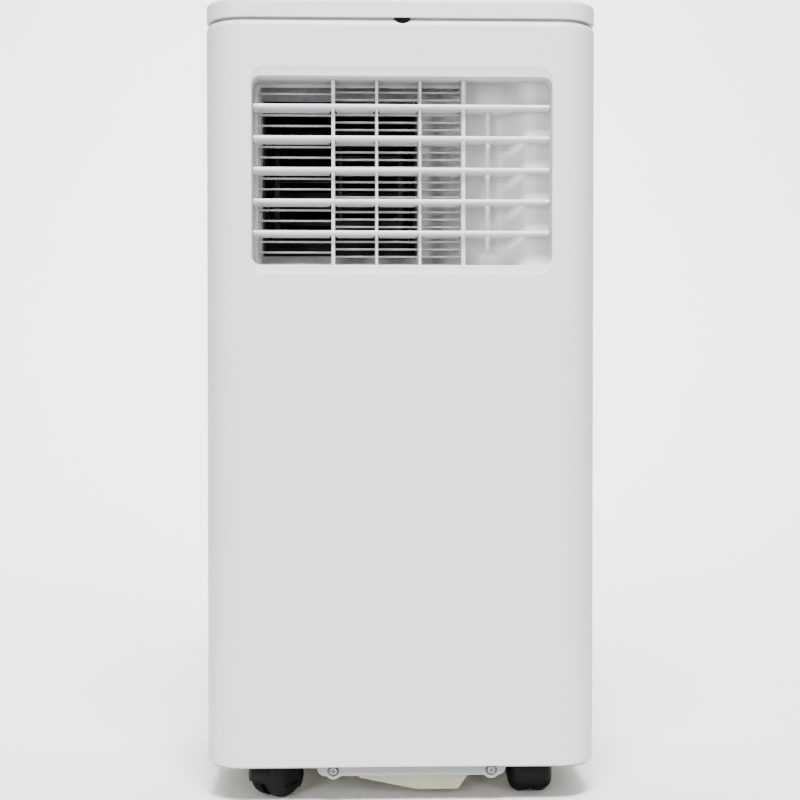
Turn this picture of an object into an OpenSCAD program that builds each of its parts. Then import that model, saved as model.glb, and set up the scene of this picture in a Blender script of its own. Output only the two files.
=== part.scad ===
// Portable air conditioner: a small single-hose unit on four castors.
// Millimetres. +Z is up, the air outlet faces -Y, and the origin is on the floor under the middle of the case.

/* [Case] */
// Width of the case, side to side
case_w = 336; // [330:1:342]
// Depth of the case, front to back
case_d = 300; // [298:1:304]
// Height from the floor to the top of the cover
case_h = 686; // [684:1:692]
// Radius of the case's upright corners
corner_r = 36; // [32:1:38]
// Thickness of the moulded shells
wall = 2.5; // [2:0.1:2.8]
// Height of the shells' lower edge above the floor
skirt_z = 32; // [31:0.5:33]
// Height of the cover's outer rim
cover_rim = 16; // [15:0.5:18]

/* [Outlet] */
// Width of the outlet recess
recess_w = 255.4; // [250:0.2:256]
// Height of the recess's lower edge
recess_z0 = 460.8; // [458:0.2:462]
// Height of the recess's upper edge
recess_z1 = 620.5; // [619:0.5:622]
// Depth of the recess behind the front face
recess_depth = 42; // [42:1:44]
// Number of louvres
louvre_count = 5; // [5:1:5]
// Height between one louvre's pivot and the next
louvre_pitch = 26.95; // [26:0.05:27]
// Height of the lowest louvre's pivot
louvre_z0 = 488.3; // [487:0.1:490]
// Upward tilt of the louvres' noses at rest
louvre_tilt = 6; // [0:1:7]

/* [Castors] */
// Radius of a castor wheel
wheel_r = 19; // [18:0.5:19]
// Distance from a castor's swivel axis to its axle
trail = 5; // [4:0.5:6]
// Side-to-side distance of a swivel axis from the chassis' middle
castor_x = 109.5; // [108:0.5:110]
// Front-to-back distance of a swivel axis from the middle
castor_y = 110; // [108:1:110]

/* [Exhaust] */
// Inner radius of the exhaust collar
exhaust_r = 72; // [70:0.5:73]
// Height of the exhaust collar's axis
exhaust_z = 320; // [318:1:321]

/* [Hidden] */
$fn = 48;

// Colours
shell_white = [0.87, 0.88, 0.89];
trim_white = [0.84, 0.85, 0.86];
natural_cream = [0.76, 0.74, 0.66];
black_plastic = [0.03, 0.03, 0.035];
dark_grey = [0.16, 0.16, 0.17];
steel = [0.62, 0.63, 0.65];
fin_silver = [0.80, 0.81, 0.83];
copper = [0.72, 0.43, 0.27];
board_green = [0.10, 0.32, 0.18];

// Case planes
front_y = -case_d / 2;
back_y = case_d / 2;
side_x = case_w / 2;
seam_y = -60;
cover_z = case_h - cover_rim;
shell_top_z = cover_z - 1;
skirt_in = 6;
lens_r = 7.8;
lens_z = cover_z + 2.9;
tiny = 0.01;

// Outlet planes
recess_x = recess_w / 2;
recess_back_y = front_y + recess_depth;
recess_corner = 7.6;
mouth_x0 = -124.7;
mouth_x1 = 55;
mouth_z0 = 463.5;
mouth_z1 = 618.5;
shelf_y = front_y + 25;
ramp_x0 = 84;
ramp_x1 = 112;
pocket_r = 30.5;

// Louvres
pivot_y = front_y + 20;
pivot_r = 1.8;
louvre_half = recess_x - 0.8;
nose_r = 1.95;
nose_reach = 9;
tail_reach = 15;
link_x = 75;
link_dy = 12;
link_pin_r = 1.5;
rib_x = [-58.8, -21.4, 15.8, 53.2];
rib_w = [3.0, 2.2, 2.2, 3.4];
rib_y = pivot_y - 2;
notch_y = -5.6;

// Ears of the front tab, each with a screw
ear_x = [-59, 76.5];
ear_z = 28.3;
ear_sink = 1.2;

// Upper compartment
tray_z = 400;
fan_y = 14;
fan_z = 530;
fan_r = 68;
fan_x0 = -112;
fan_x1 = 4;
coil_y = 101;
coil_d = 24;

// Lower compartment
cond_x = 45;
cond_z = 165;
cond_r = 82;
comp_x = -98;
comp_y = -62;
comp_r = 54;

// Rear openings
filter_x = 125;
filter_z0 = 420;
filter_z1 = 636;
intake_x = 122;
intake_z0 = 66;
intake_z1 = 228;
gland_x = 116;
gland_z = 256;
drain_x = -120;
drain_z = 408;
plug_x = -40;
plug_z = 44;

// Controls
fascia_y = -98;
fascia_w = 216;
fascia_d = 56;
fascia_z = 684.2;
fascia_t = 3.4;
board_z = 670;
button_r = 6.5;
button_names = ["power", "mode", "fan", "down", "up", "timer", "sleep"];
button_x = [-92, -69, -46, 40, 61, 82, 100];

castor_yaw = [139, 0, 20, -25];
castor_side = [[-1, -1], [1, -1], [-1, 1], [1, 1]];
// The chassis under the case sits a little to the right of the case's middle.
chassis_shift = 3.5;

function castor_at(side) = [side[0] * castor_x + chassis_shift, side[1] * castor_y];

// ---------- helpers ----------

// Rounded rectangle with true arcs.
module rounded(w, d, r) {
    square([w - 2 * r, d], center = true);
    square([w, d - 2 * r], center = true);
    for (sx = [-1, 1], sy = [-1, 1])
        translate([sx * (w / 2 - r), sy * (d / 2 - r)]) circle(r);
}

// Rounded rectangle between two corners.
module rounded_between(x0, y0, x1, y1, r)
    translate([(x0 + x1) / 2, (y0 + y1) / 2]) rounded(x1 - x0, y1 - y0, r);

module upright(z0, z1) translate([0, 0, z0]) linear_extrude(z1 - z0) children();

// A flat shape drawn in X and Z, from y0 to y1.
module along_y(y0, y1) translate([0, y1, 0]) rotate([90, 0, 0]) linear_extrude(y1 - y0) children();

// A flat shape drawn in Y and Z, from x0 to x1.
module along_x(x0, x1) translate([x0, 0, 0]) rotate([90, 0, 90]) linear_extrude(x1 - x0) children();

module rod_y(r, y0, y1, x, z) translate([x, y1, z]) rotate([90, 0, 0]) cylinder(r = r, h = y1 - y0);

module rod_x(r, x0, x1, y, z) translate([x0, y, z]) rotate([0, 90, 0]) cylinder(r = r, h = x1 - x0);

module block(x0, x1, y0, y1, z0, z1) translate([x0, y0, z0]) cube([x1 - x0, y1 - y0, z1 - z0]);

// Plan of the case, moved inwards by inset.
module case_plan(inset) rounded(case_w - 2 * inset, case_d - 2 * inset, corner_r - inset);

// The case's wall in plan, on one side of the seam.
module case_wall(y0, y1) intersection() {
    difference() {
        case_plan(0);
        case_plan(wall);
    }
    translate([-case_w, y0]) square([2 * case_w, y1 - y0]);
}

function unit(v) = v / norm(v);

// How far before a pipe's corner its bend starts. A pipe's ends have no bend.
function bend_start(points, i, bend) = i == 0 || i == len(points) - 1 ? 0 :
    let (a = unit(points[i] - points[i - 1]), b = unit(points[i + 1] - points[i])) bend * tan(acos(a * b) / 2);

// Pipe of radius r along the points, with a true bend at each corner.
module pipe(r, bend, points) {
    for (i = [0 : len(points) - 2]) {
        way = unit(points[i + 1] - points[i]);
        from = points[i] + way * bend_start(points, i, bend);
        length = norm(points[i + 1] - from) - bend_start(points, i + 1, bend);
        translate(from) rotate([0, acos(way[2]), atan2(way[1], way[0])]) cylinder(r = r, h = length, $fn = 24);
    }
    for (i = [1 : len(points) - 2]) {
        a = unit(points[i] - points[i - 1]);
        b = unit(points[i + 1] - points[i]);
        n = unit(cross(a, b));
        inward = cross(n, a);
        c = points[i] - a * bend_start(points, i, bend) + inward * bend;
        multmatrix([[-inward[0], a[0], n[0], c[0]], [-inward[1], a[1], n[1], c[1]], [-inward[2], a[2], n[2], c[2]],
                    [0, 0, 0, 1]])
            rotate_extrude(angle = acos(a * b), $fn = 48) translate([bend, 0]) circle(r, $fn = 24);
    }
}

function louvre_z(k) = louvre_z0 + (louvre_count - k) * louvre_pitch;

// ---------- case ----------

// Where screws go through the rear panel: into the pan, the tray and the cover.
rear_screws = [[-75, 54], [75, 54], [-60, tray_z + 9], [60, tray_z + 9], [-95, 655.5], [95, 655.5]];

// Two ears that hang below the front skirt, joined by a strip.
module front_tab() {
    difference() {
        along_y(front_y + 4, front_y + 6.5) {
            rounded_between(-73, 23.8, 89, 46, 7);
            for (x = ear_x) translate([x, ear_z]) circle(7.4);
        }
        for (x = ear_x) {
            rod_y(2.2, front_y + 3, front_y + 7, x, ear_z);
            rod_y(4.9, front_y + 3, front_y + 4 + ear_sink, x, ear_z);
        }
    }
    for (x = [-60, 70]) block(x, x + 20, front_y + wall, front_y + 4, skirt_z + 2, 44);
}

// Back wall of the recess: flat, then a ramp up to a shallower shelf on the right.
module ramp_plan() {
    steps = 16;
    front = [for (i = [0 : steps]) let (t = i / steps)
        [ramp_x0 + t * (ramp_x1 - ramp_x0),
         recess_back_y + (shelf_y - recess_back_y) * (1 - cos(180 * t)) / 2]];
    rear = [for (i = [0 : steps]) let (t = 1 - i / steps)
        [ramp_x0 + t * (ramp_x1 - ramp_x0),
         recess_back_y + wall + (shelf_y - recess_back_y) * (1 - cos(180 * t)) / 2]];
    polygon(concat(front, [[recess_x + 1, shelf_y], [recess_x + 1, shelf_y + wall]], rear));
}

module recess_window(inset) rounded_between(
    -recess_x - inset, recess_z0 - inset, recess_x + inset, recess_z1 + inset, recess_corner + inset);

module front_panel() color(shell_white) {
    difference() {
        union() {
            upright(skirt_z, shell_top_z) case_wall(front_y - 1, seam_y);
            along_y(front_y + wall / 2, recess_back_y + wall) recess_window(wall);
            for (k = [1 : louvre_count], s = [-1, 1])
                rod_x(4.5, s > 0 ? recess_x + wall / 2 : -recess_x - 5.5,
                      s > 0 ? recess_x + 5.5 : -recess_x - wall / 2, pivot_y, louvre_z(k));
        }
        along_y(front_y - 1, recess_back_y) recess_window(0);
        along_y(recess_back_y - 1, recess_back_y + wall + 1)
            rounded_between(mouth_x0, mouth_z0, mouth_x1, mouth_z1, 5);
        block(ramp_x0, recess_x - tiny, recess_back_y - 1, recess_back_y + wall + 1,
              recess_z0 + tiny, recess_z1 - tiny);
        for (k = [1 : louvre_count])
            rod_x(pivot_r + 0.07, -recess_x - 4, recess_x + 4, pivot_y, louvre_z(k));
        rod_y(lens_r + 0.2, front_y - 1, front_y + wall + 1, 0, lens_z);
    }
    upright(recess_z0 - 1, recess_z1 + 1) ramp_plan();
    front_tab();
}

module rear_slots() {
    // Rows of slots beside the exhaust, which let air to the compressor bay.
    for (x = [-1, 1], i = [0 : 7])
        translate([x * 116, 280 + 11 * i]) rounded(38, 5, 2.4);
}

module rear_panel() color(shell_white) {
    difference() {
        upright(skirt_z, shell_top_z) case_wall(seam_y + 0.3, back_y + 1);
        along_y(back_y - wall - 1, back_y + 1) {
            rounded_between(-filter_x, filter_z0, filter_x, filter_z1, 8);
            rounded_between(-intake_x, intake_z0, intake_x, intake_z1, 8);
            translate([0, exhaust_z]) circle(exhaust_r + 3.3);
            translate([gland_x, gland_z]) circle(7.2);
            translate([drain_x, drain_z]) circle(9.2);
            translate([plug_x, plug_z]) circle(11);
        }
        along_y(back_y - wall - 1, back_y + 1) rear_slots();
        for (s = [-1, 1]) along_x(s > 0 ? side_x - wall - 1 : -side_x - 1, s > 0 ? side_x + 1 : -side_x + wall + 1)
            rounded_between(10.6, 570.6, 109.4, 613.4, 13.4);
        for (p = rear_screws) {
            rod_y(1.9, back_y - 8, back_y + 1, p[0], p[1]);
            rod_y(4.3, back_y - 2.6, back_y + 1, p[0], p[1]);
        }
    }
    for (p = rear_screws) screw_boss(p);
}

// Cup behind the rear wall that takes a screw's head below the surface.
module screw_boss(p) difference() {
    rod_y(6.5, back_y - 5, back_y - wall, p[0], p[1]);
    rod_y(1.9, back_y - 8, back_y + 1, p[0], p[1]);
    rod_y(4.3, back_y - 2.6, back_y + 1, p[0], p[1]);
}

// Finger cups that snap into the sides of the rear shell.
module side_handles() color(trim_white) for (s = [-1, 1]) mirrored(s) {
    difference() {
        along_x(side_x - 28, side_x) rounded_between(11, 571, 109, 613, 13);
        difference() {
            along_x(side_x - 26, side_x + 1) rounded_between(13, 573, 107, 611, 11);
            block(side_x - 9, side_x + 2, 0, 120, 598, 620);
        }
        along_x(side_x - 26, side_x - 9) rounded_between(13, 573, 107, 611, 11);
    }
}

module mirrored(s) if (s > 0) children(); else mirror([1, 0, 0]) children();

module top_cover() color(shell_white) {
    difference() {
        union() {
            upright(cover_z, case_h) case_plan(0);
            upright(cover_z - 20, cover_z + 1) case_plan(skirt_in);
        }
        difference() {
            upright(cover_z - 21, case_h - 3) case_plan(skirt_in + 2.5);
            // Blocks for the two upper rear screws.
            for (p = rear_screws) if (p[1] > cover_z - 20)
                block(p[0] - 8, p[0] + 8, back_y - 17, back_y - 8, cover_z - 21, cover_z);
        }
        translate([0, fascia_y, 0]) upright(case_h - 4, case_h + 1) rounded(fascia_w + 0.6, fascia_d + 0.6, 12.3);
        for (p = rear_screws) rod_y(1.7, back_y - 13, back_y - 2, p[0], p[1]);
    }
}

module remote_receiver() color(black_plastic) difference() {
    union() {
        rod_y(lens_r, front_y + 1.2, front_y + wall, 0, lens_z);
        rod_y(lens_r + 1.2, front_y + wall, front_y + skirt_in, 0, lens_z);
    }
    block(-12, 12, front_y - 1, front_y + 8, cover_z - 0.1, cover_z + 14);
}

// Pan that carries everything: a floor with pockets for the castors and a sump that hangs below the skirt.
module base_pan() color(natural_cream) {
    rim_z = 62;
    floor_z = 30;
    difference() {
        union() {
            upright(floor_z, rim_z) intersection() {
                case_plan(wall + 0.5);
                translate([-case_w, front_y + 7]) square([2 * case_w, case_d]);
            }
            sump_outer();
            for (x = ear_x) rod_y(6, front_y + 7, front_y + 21, x, ear_z);
        }
        difference() {
            upright(floor_z + wall, rim_z + 1) intersection() {
                case_plan(wall + 3);
                translate([-case_w, front_y + 9.5]) square([2 * case_w, case_d]);
            }
            castor_pockets(pocket_r + 2.5, floor_z - 1, 49);
            upright(floor_z, 50) for (a = [90, 210, 330])
                translate([comp_x + 62 * cos(a), comp_y + 62 * sin(a)]) circle(9);
            for (x = ear_x) rod_y(6, front_y + 7, front_y + 21, x, ear_z);
            for (p = rear_screws) if (p[1] < rim_z)
                block(p[0] - 8, p[0] + 8, back_y - 14, back_y - 5, floor_z, rim_z);
            rod_y(9.5, back_y - 11, back_y - 5, plug_x, plug_z);
        }
        sump_inner();
        castor_pockets(pocket_r, floor_z - 1, 46.5);
        for (x = ear_x) rod_y(1.7, front_y + 4, front_y + 15, x, ear_z);
        for (p = rear_screws) {
            rod_y(6.7, back_y - 5.2, back_y - 2.5, p[0], p[1]);
            rod_y(1.7, back_y - 13, back_y - 2, p[0], p[1]);
        }
        for (c = castor_side) translate([castor_at(c)[0], castor_at(c)[1], 40]) cylinder(r = 7.15, h = 20);
        rod_y(7.05, back_y - 20, back_y + 1, plug_x, plug_z);
    }
}

module castor_pockets(r, z0, z1) for (c = castor_side)
    translate([castor_at(c)[0], castor_at(c)[1], z0]) cylinder(r = r, h = z1 - z0);

module sump_outer() along_y(front_y + 22, front_y + 112)
    polygon([[-37, 31], [-37, 18], [13, 7.5], [49, 7.5], [57, 19], [57, 31]]);

module sump_inner() along_y(front_y + 24, front_y + 110)
    polygon([[-35, 34], [-35, 20], [13.5, 9.8], [48, 9.8], [55, 20], [55, 34]]);

// Shelf between the two compartments. Its trough catches the evaporator's water and leads to the upper drain.
module partition_tray() color(trim_white) {
    difference() {
        union() {
            upright(tray_z, tray_z + 3) intersection() {
                case_plan(wall + 1);
                translate([-case_w, -100]) square([2 * case_w, 240]);
            }
            block(-150, 150, coil_y - 8, coil_y - 5.5, tray_z + 3, tray_z + 14);
            block(-150, 150, 134, 136.5, tray_z + 3, tray_z + 14);
            for (x = [-150, 147.5]) block(x, x + 2.5, coil_y - 8, 136.5, tray_z + 3, tray_z + 14);
            rod_y(6, 130, back_y - 1, drain_x, drain_z);
            for (p = rear_screws) if (p[1] < tray_z + 20 && p[1] > tray_z)
                block(p[0] - 8, p[0] + 8, 136, back_y - 5.2, tray_z + 1, tray_z + 16);
        }
        rod_y(4, 125, back_y, drain_x, drain_z);
        for (p = rear_screws) rod_y(1.7, back_y - 13, back_y - 2, p[0], p[1]);
        translate([-147, 60, tray_z - 1]) cylinder(r = 7, h = 6);
        translate([-157, 78, tray_z - 1]) cylinder(r = 4, h = 6);
        translate([140, 20, tray_z - 1]) cylinder(r = 10, h = 6);
    }
}

// One pan-head screw on an axis along Y, with its head towards sign.
module screw_y(x, y, z, sign) {
    difference() {
        translate([x, y, z]) rotate([sign * 90, 0, 0]) cylinder(r1 = 3.8, r2 = 3, h = 2.4);
        translate([x, y + sign * -2.4, z]) cube([4, 1.6, 0.9], center = true);
        translate([x, y + sign * -2.4, z]) cube([0.9, 1.6, 4], center = true);
    }
    rod_y(1.7, sign > 0 ? y : y - 9, sign > 0 ? y + 9 : y, x, z);
}

module case_screws() color(steel) {
    for (x = ear_x) screw_y(x, front_y + 4 + ear_sink, ear_z, 1);
    for (p = rear_screws) screw_y(p[0], back_y - 2.6, p[1], -1);
}

// ---------- air outlet ----------

module outlet_grille() color(trim_white) {
    bar_h = 1.4;
    along_y(recess_back_y + wall, recess_back_y + wall + 3) difference() {
        rounded_between(mouth_x0 - 4, mouth_z0 - 4, mouth_x1 + 4, mouth_z1 + 4, 5);
        rounded_between(mouth_x0 + 0.6, mouth_z0 + 0.6, mouth_x1 - 0.6, mouth_z1 - 0.6, 4.4);
    }
    for (i = [0 : 15]) block(mouth_x0 + 0.2, rib_x[0], recess_back_y, recess_back_y + 4.5,
                             611.7 - 9.18 * i - bar_h / 2, 611.7 - 9.18 * i + bar_h / 2);
    for (i = [0 : 22]) block(rib_x[0], rib_x[3], recess_back_y, recess_back_y + 4.5,
                             613.4 - 6.5 * i - bar_h / 2, 613.4 - 6.5 * i + bar_h / 2);
    for (i = [0 : 3]) block(rib_x[i] - rib_w[i] / 2, rib_x[i] + rib_w[i] / 2,
                            rib_y, recess_back_y, recess_z0 + 0.3, recess_z1 - 0.3);
    for (i = [0 : 3]) block(rib_x[i] - rib_w[i] / 2, rib_x[i] + rib_w[i] / 2,
                            recess_back_y - 1, recess_back_y + wall + 1, mouth_z0 + 5, mouth_z1 - 5);
    for (i = [0 : 3]) block(rib_x[i] - rib_w[i] / 2, rib_x[i] + rib_w[i] / 2,
                            recess_back_y + wall, recess_back_y + wall + 3, mouth_z0 - 2, mouth_z1 + 2);
}

// Foam funnel from the grille back to the fan housing. Its top, bottom and right side slant inwards.
module outlet_duct() color(trim_white) {
    y0 = recess_back_y + wall + 3;
    y1 = fan_y - 84;
    upright(mouth_z0 - 2.5, mouth_z1 + 2.5)
        polygon([[-124, y0], [-122, y0], [-122, y1], [-124, y1]]);
    upright(mouth_z0 - 2.5, mouth_z1 + 2.5)
        polygon([[57, y0], [59, y0], [18, y1 - tiny], [18, y1], [16, y1]]);
    intersection() {
        upright(mouth_z0 - 4.5, mouth_z1 + 4.5) polygon([[-124, y0], [59, y0], [18, y1], [-124, y1]]);
        along_x(-130, 60) {
            polygon([[y0, mouth_z1 + 2.5], [y1, mouth_z1 - 7.5], [y1, mouth_z1 + 5], [y0, mouth_z1 + 5]]);
            polygon([[y0, mouth_z0 - 2.5], [y1, mouth_z0 + 9.5], [y1, mouth_z0 - 5], [y0, mouth_z0 - 5]]);
        }
    }
}

// A point of the section turned by the louvre's rest angle.
function tilted(p) = [p[0] * cos(louvre_tilt) + p[1] * sin(louvre_tilt),
                      p[1] * cos(louvre_tilt) - p[0] * sin(louvre_tilt)];

// Teardrop section of a louvre about its pivot, in Y and Z.
function louvre_section() = concat(
    [for (a = [90 : 15 : 270]) [-nose_reach + nose_r + nose_r * cos(a), nose_r * sin(a)]],
    [[2, -1.7], [tail_reach, -0.8], [tail_reach, 0.8], [2, 1.9]]);

module louvre(k) color(shell_white) {
    z = louvre_z(k);
    translate([0, pivot_y, z]) difference() {
        along_x(-louvre_half, louvre_half) polygon([for (p = louvre_section()) tilted(p)]);
        // Notches that clear the grille's upright ribs.
        for (i = [0 : 3]) rib_notch(rib_x[i], rib_w[i] / 2 + 1.6, rib_w[i] / 2 + 0.6);
        link_notch(link_x, 4.4);
        // The tail follows the ramp on the right.
        upright(-5, 5) polygon([[84, tail_reach + 1], [86, tail_reach - 1], [100, 4.5], [130, 3],
                                [130, tail_reach + 1]]);
    }
    for (s = [-1, 1])
        rod_x(pivot_r, s > 0 ? louvre_half - 4 : -louvre_half - 3.2, s > 0 ? louvre_half + 3.2 : -louvre_half + 4,
              pivot_y, z);
    for (s = [-1, 1])
        rod_x(2.7, s > 0 ? louvre_half - 4 : -louvre_half, s > 0 ? louvre_half : -louvre_half + 4, pivot_y, z);
    // Pin across the last notch, which the link bar clips on.
    rod_x(link_pin_r, link_x - 5.4, link_x + 5.4, pivot_y + link_dy, z);
}

module rib_notch(x, wide, near) upright(-5, 5)
    polygon([[x - wide, tail_reach + 1], [x - wide, 6.6], [x - near, 5.4], [x - near, notch_y],
             [x + near, notch_y], [x + near, 5.4], [x + wide, 6.6], [x + wide, tail_reach + 1]]);

module link_notch(x, half) upright(-5, 5)
    polygon([[x - half, tail_reach + 1], [x - half, 6.6], [x - half + 1.2, 5.4],
             [x + half - 1.2, 5.4], [x + half, 6.6], [x + half, tail_reach + 1]]);

module louvre_link() color(shell_white) difference() {
    y = pivot_y + link_dy;
    z0 = louvre_z(louvre_count) - 11;
    z1 = louvre_z(1) + 2;
    along_x(link_x - 1.7, link_x + 1.7) {
        translate([y - 2.6, z0]) square([5.2, z1 - z0]);
        for (z = [z0, z1]) translate([y, z]) circle(2.6);
    }
    for (k = [1 : louvre_count]) {
        rod_x(link_pin_r + 0.06, link_x - 4, link_x + 4, y, louvre_z(k));
        block(link_x - 4, link_x + 4, y, y + 5, louvre_z(k) - 1.1, louvre_z(k) + 1.1);
    }
}

// ---------- controls ----------

module control_fascia() color(dark_grey) difference() {
    translate([0, fascia_y, 0]) {
        upright(fascia_z - fascia_t, fascia_z) rounded(fascia_w, fascia_d, 12);
        upright(fascia_z - fascia_t, case_h - 3) rounded(fascia_w + 8, fascia_d + 8, 14);
        // Posts that hold the board.
        for (x = [-102, 102], y = [-18, 18])
            translate([x, y, board_z + 1.6]) cylinder(r = 2.6, h = fascia_z - fascia_t - board_z - 1);
    }
    translate([-3, fascia_y, 0]) upright(fascia_z - 4, fascia_z + 1) rounded(52.4, 30.4, 3.2);
    for (x = button_x) translate([x, fascia_y, fascia_z - 4]) cylinder(r = button_r + 0.3, h = 5);
}

module display_window() color(black_plastic) translate([-3, fascia_y, 0]) {
    upright(fascia_z - fascia_t, fascia_z) rounded(52, 30, 3);
    upright(fascia_z - fascia_t - 1.2, fascia_z - fascia_t) rounded(56, 34, 3);
}

module control_board() {
    color(board_green) translate([0, fascia_y, 0]) upright(board_z, board_z + 1.6) rounded(220, 48, 3);
    color(dark_grey) for (x = button_x) translate([x, fascia_y, board_z + 1.6]) cylinder(r = 3, h = 3.6);
    color(dark_grey) block(-25, 19, fascia_y - 11, fascia_y + 11, board_z + 1.6, board_z + 9);
}

// A domed cap with a skirt under the fascia and a stem that meets its switch.
module button(i) color(trim_white) translate([button_x[i], fascia_y, 0]) {
    upright(fascia_z - fascia_t - 0.2, fascia_z + 0.9) circle(button_r);
    upright(fascia_z - fascia_t - 1.3, fascia_z - fascia_t - 0.1) circle(button_r + 1.2);
    upright(board_z + 6.2, fascia_z - fascia_t - 1.2) circle(2);
}

// ---------- rear fittings ----------

// Removable intake grille that holds the filter. It pivots out on its lower edge.
module upper_filter_frame() color(shell_white) {
    x1 = filter_x - 0.5;
    z0 = filter_z0 + 0.5;
    z1 = filter_z1 - 0.5;
    difference() {
        along_y(back_y - 7, back_y) rounded_between(-x1, z0, x1, z1, 7.5);
        along_y(back_y - 8, back_y + 1) for (c = [-1, 1])
            rounded_between(c > 0 ? 2 : -x1 + 8, z0 + 9, c > 0 ? x1 - 8 : -2, z1 - 9, 4);
        along_y(back_y - 8, back_y - 5) rounded_between(-x1 + 4, z0 + 4, x1 - 4, z1 - 4, 4);
    }
    for (i = [0 : 20]) block(-x1 + 7, x1 - 7, back_y - 4, back_y - 0.6, z0 + 15.6 + 9.2 * i, z0 + 17.8 + 9.2 * i);
}

module upper_filter_mesh() color(dark_grey)
    along_y(back_y - 7, back_y - 5.6) rounded_between(-filter_x + 5, filter_z0 + 5, filter_x - 5, filter_z1 - 5, 3.5);

module lower_intake_grille() color(shell_white) {
    x1 = intake_x - 0.3;
    z0 = intake_z0 + 0.3;
    z1 = intake_z1 - 0.3;
    along_y(back_y - 5, back_y) difference() {
        rounded_between(-x1, z0, x1, z1, 7.7);
        for (c = [-1, 1])
            rounded_between(c > 0 ? 2 : -x1 + 6, z0 + 6, c > 0 ? x1 - 6 : -2, z1 - 6, 4);
    }
    for (i = [0 : 15]) block(-x1 + 5, x1 - 5, back_y - 4, back_y - 0.6, z0 + 12 + 9.2 * i, z0 + 14.2 + 9.2 * i);
}

// Collar that the exhaust hose's adapter turns into, with three bayonet slots in its mouth.
module exhaust_collar() color(trim_white) difference() {
    union() {
        rod_y(exhaust_r + 3, back_y - 30, back_y, 0, exhaust_z);
        rod_y(exhaust_r + 6, back_y - wall - 3, back_y - wall, 0, exhaust_z);
    }
    rod_y(exhaust_r, back_y - 31, back_y + 1, 0, exhaust_z);
    for (a = [90, 210, 330]) translate([0, back_y - 2.5, exhaust_z]) rotate([0, a, 0])
        cube([2 * exhaust_r + 3, 6, 10], center = true);
}

// Box between the condenser fan and the collar.
module exhaust_duct() color(trim_white) difference() {
    union() {
        block(-90, 131, 22, 82, 273, 396);
        block(-80, 80, 80, back_y - 30, 242, 396);
    }
    block(-88, 129, 24, 80, 275, 394);
    block(-37, cond_x + cond_r, 26, 78, 272, 276);
    block(-78, 78, 79, back_y - 32, 275, 394);
    block(-78, 78, 82, back_y - 32, 244, 276);
    rod_y(exhaust_r, back_y - 33, back_y - 29, 0, exhaust_z);
}

module cord_gland() color(dark_grey) difference() {
    union() {
        rod_y(7, back_y - 12, back_y, gland_x, gland_z);
        rod_y(9.5, back_y - wall - 2.2, back_y - wall, gland_x, gland_z);
    }
    rod_y(3.6, back_y - 13, back_y + 1, gland_x, gland_z);
}

module drain_cap() color(dark_grey) difference() {
    union() {
        rod_y(8.6, back_y - 9.5, back_y, drain_x, drain_z);
        block(drain_x - 6, drain_x + 6, back_y - 1.5, back_y, drain_z - 1.2, drain_z + 1.2);
    }
    rod_y(6.07, back_y - 14, back_y - 0.95, drain_x, drain_z);
}

module drain_plug() color(dark_grey) {
    rod_y(10.4, back_y - 3, back_y - 0.2, plug_x, plug_z);
    rod_y(7, back_y - 10, back_y - 3, plug_x, plug_z);
}

// ---------- upper compartment ----------

// Scroll outline about the fan's axis, from the tongue round the back to the top of the mouth.
function scroll_r(turn) = fan_r + 8 + 12 * turn / 235;
function evap_scroll(grow) = concat(
    [[-84, -64 - grow]],
    [for (turn = [0 : 11.75 : 235]) let (a = 215 + turn, r = scroll_r(turn) + grow) [r * cos(a), r * sin(a)]],
    [[-84, scroll_r(235) + grow]]);

module evaporator_fan_housing() color(black_plastic) translate([0, fan_y, fan_z]) {
    x0 = -122;
    x1 = 16;
    difference() {
        union() {
            along_x(x0, x1) polygon(evap_scroll(2));
            for (x = [x0, x1 - 4], y = [-50, 40]) block(x, x + 4, y, y + 10, tray_z + 3 - fan_z, -50);
        }
        along_x(x0 + 2, x1 - 2) polygon(evap_scroll(0));
        along_x(x0 + 2, x1 - 2) polygon([[-85, -64], [-80, -63], [-80, scroll_r(235)], [-85, scroll_r(235)]]);
        rod_x(50, x0 - 1, x1 + 1, 0, 0);
    }
}

// Squirrel-cage wheel about +X: two rims, blades and a hub disc.
module cage(r, length, blades, disc_at, bore) {
    difference() {
        union() {
            for (x = [0, length - 4]) translate([0, 0, x]) difference() {
                cylinder(r = r, h = 4);
                translate([0, 0, -1]) cylinder(r = r - 9, h = 6);
            }
            for (i = [0 : blades - 1]) rotate(360 * i / blades) translate([r - 4.6, 0, 2])
                rotate(28) translate([-4, -0.5, 0]) cube([8, 1, length - 4]);
            translate([0, 0, disc_at]) cylinder(r = r - 3.6, h = 2.5);
            translate([0, 0, disc_at - 8]) cylinder(r = 10, h = 18);
        }
        translate([0, 0, disc_at - 9]) cylinder(r = bore, h = 20);
    }
}

module evaporator_fan_wheel() {
    color(black_plastic) translate([fan_x0, fan_y, fan_z]) rotate([0, 90, 0])
        cage(fan_r, fan_x1 - fan_x0, 32, 58, 4);
    color(steel) rod_x(4, fan_x0 + 50, 30, fan_y, fan_z);
}

// A can motor with end bells, seen along its shaft's +Z.
module can_motor(r, length, bore) difference() {
    union() {
        translate([0, 0, 3]) cylinder(r = r, h = length - 6);
        cylinder(r = r - 4, h = length);
        for (i = [0 : 3]) rotate(45 + 90 * i) translate([r - 2, 0, length / 2]) cube([10, 8, 6], center = true);
    }
    translate([0, 0, -1]) cylinder(r = bore, h = 14);
}

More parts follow.
